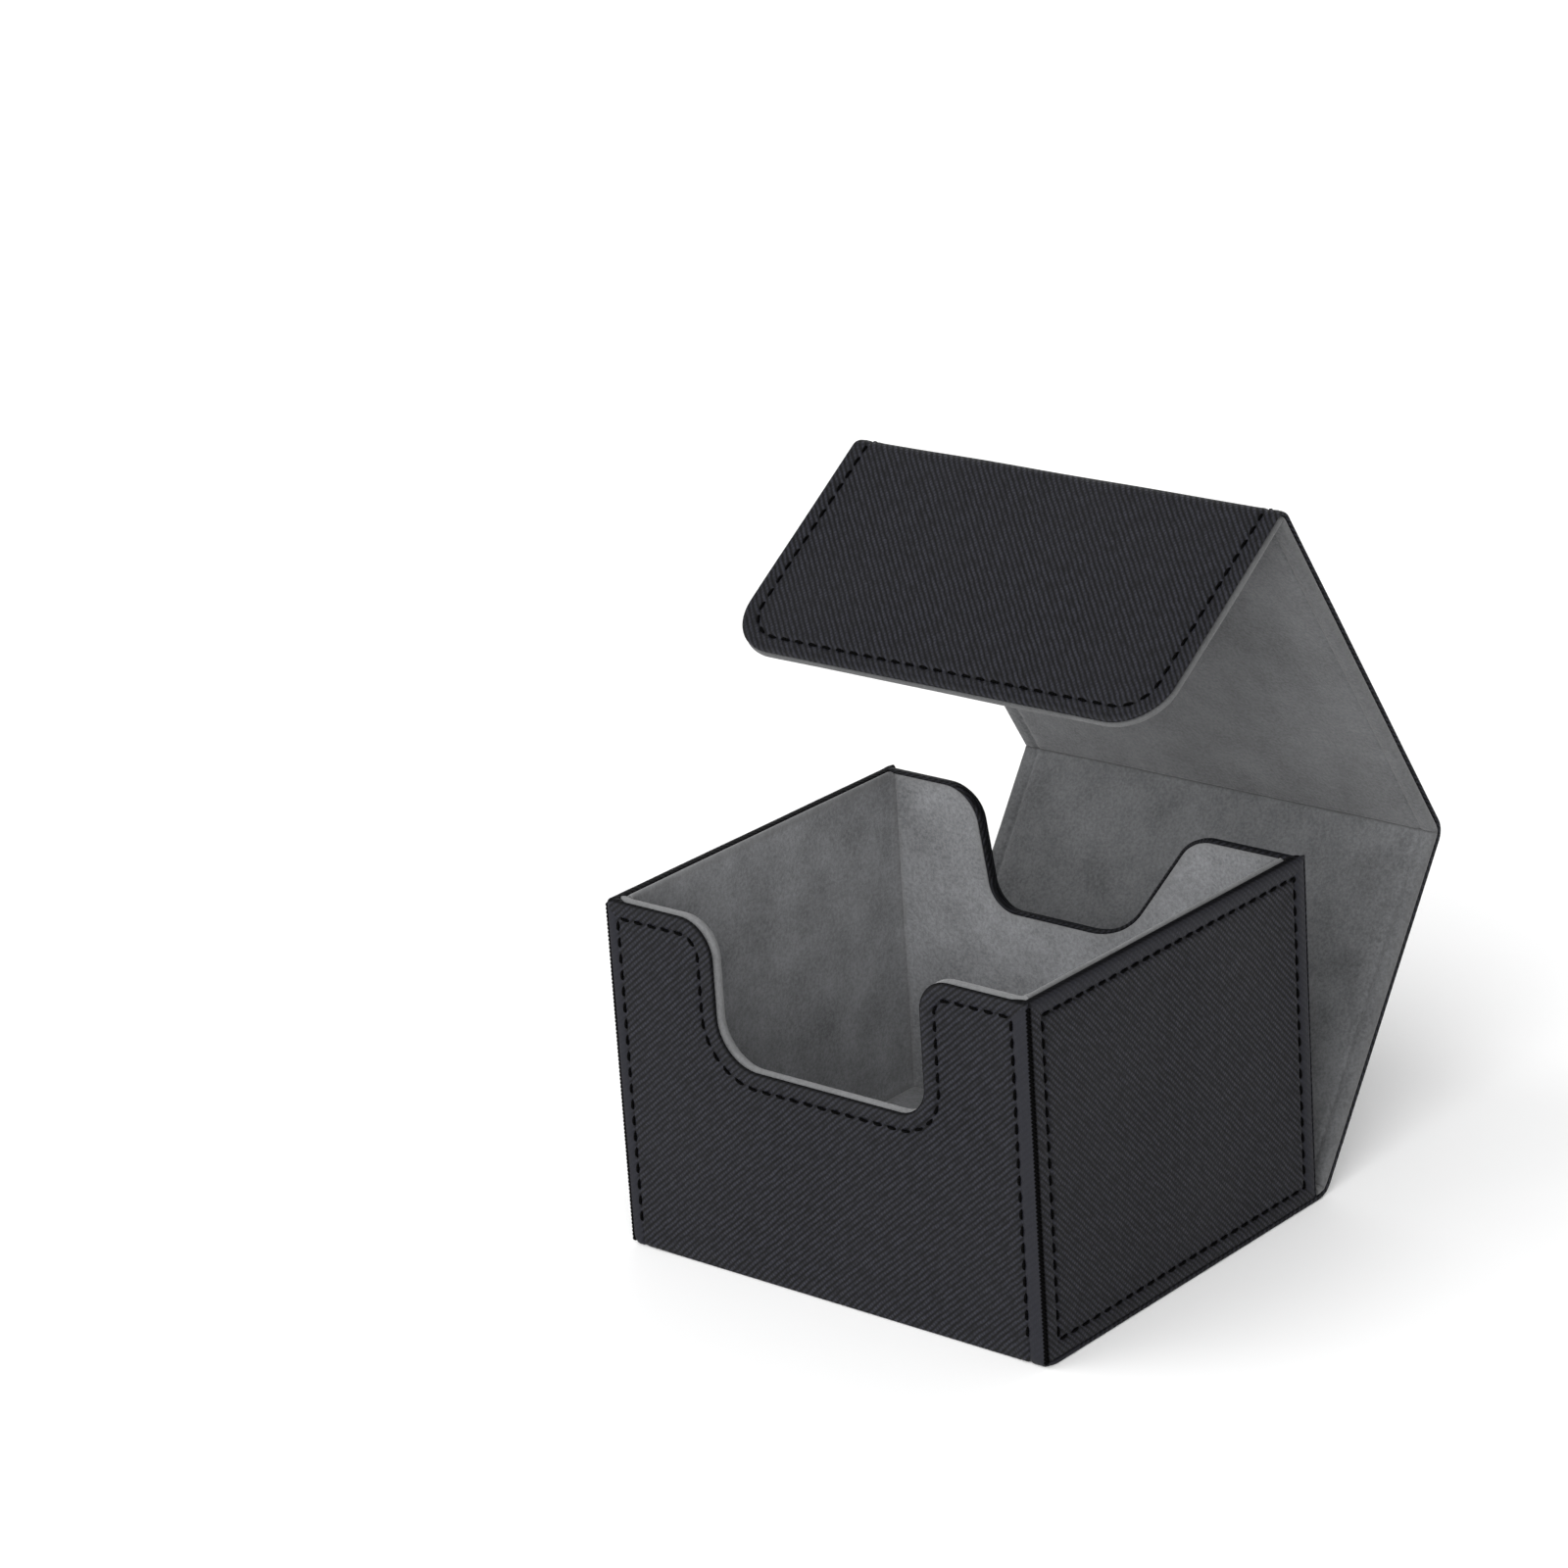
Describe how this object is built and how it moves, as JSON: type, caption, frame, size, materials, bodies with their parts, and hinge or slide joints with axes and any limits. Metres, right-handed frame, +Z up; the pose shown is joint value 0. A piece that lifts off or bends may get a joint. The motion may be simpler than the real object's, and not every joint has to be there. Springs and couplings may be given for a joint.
{
  "type": "card deck box",
  "caption": "Open-topped card box with thumb cut-outs in its front and back walls and a wrap-round folding cover with a magnetic front flap.",
  "frame": {"origin": "middle of the box's underside", "axes": "+Z up, -Y towards the front wall with the thumb cut-out, +X to the right seen from the front"},
  "size_m": [0.104, 0.1357, 0.1446],
  "materials": {
    "leatherette": "matt charcoal black leatherette with fine diagonal ribs",
    "microsuede": "mottled mid-grey microsuede",
    "chipboard": "raw grey chipboard, hidden",
    "thread": "black polyester thread",
    "nickel": "nickel-plated magnet, hidden"
  },
  "bodies": {
    "box": {"front_skin": "leatherette", "front_board": "chipboard", "front_lining": "microsuede", "front_magnet_left": "nickel", "front_magnet_right": "nickel", "front_thread": "thread", "back_skin": "leatherette", "back_board": "chipboard", "back_lining": "microsuede", "left_skin": "leatherette", "left_board": "chipboard", "left_lining": "microsuede", "left_thread": "thread", "right_skin": "leatherette", "right_board": "chipboard", "right_lining": "microsuede", "right_thread": "thread", "base_skin": "leatherette", "base_board": "chipboard", "base_lining": "microsuede", "rear_fold_skin": "leatherette", "rear_fold_lining": "microsuede"},
    "rear_cover": {"rear_cover_skin": "leatherette", "rear_cover_board": "chipboard", "rear_cover_lining": "microsuede", "rear_cover_thread_left": "thread", "rear_cover_thread_right": "thread", "top_fold_skin": "leatherette", "top_fold_lining": "microsuede"},
    "top_cover": {"top_cover_skin": "leatherette", "top_cover_board": "chipboard", "top_cover_lining": "microsuede", "top_cover_thread_left": "thread", "top_cover_thread_right": "thread", "flap_fold_skin": "leatherette", "flap_fold_lining": "microsuede"},
    "flap": {"flap_skin": "leatherette", "flap_board": "chipboard", "flap_lining": "microsuede", "flap_magnet_left": "nickel", "flap_magnet_right": "nickel", "flap_thread": "thread"}
  },
  "joints": [
    {"name": "rear_fold", "type": "hinge", "parent": "box", "child": "rear_cover", "pos_m": [0, 0.04715, 0.00045], "axis": [-1, 0, 0], "range_deg": [-35, 55], "deforming": ["rear_fold_skin", "rear_fold_lining"]},
    {"name": "top_fold", "type": "hinge", "parent": "rear_cover", "child": "top_cover", "pos_m": [0, 0.09149, 0.06377], "axis": [-1, 0, 0], "range_deg": [-23, 67], "deforming": ["top_fold_skin", "top_fold_lining"]},
    {"name": "flap_fold", "type": "hinge", "parent": "top_cover", "child": "flap", "pos_m": [0, 0.04062, 0.14518], "axis": [-1, 0, 0], "range_deg": [0, 92], "deforming": ["flap_fold_skin", "flap_fold_lining"]}
  ]
}
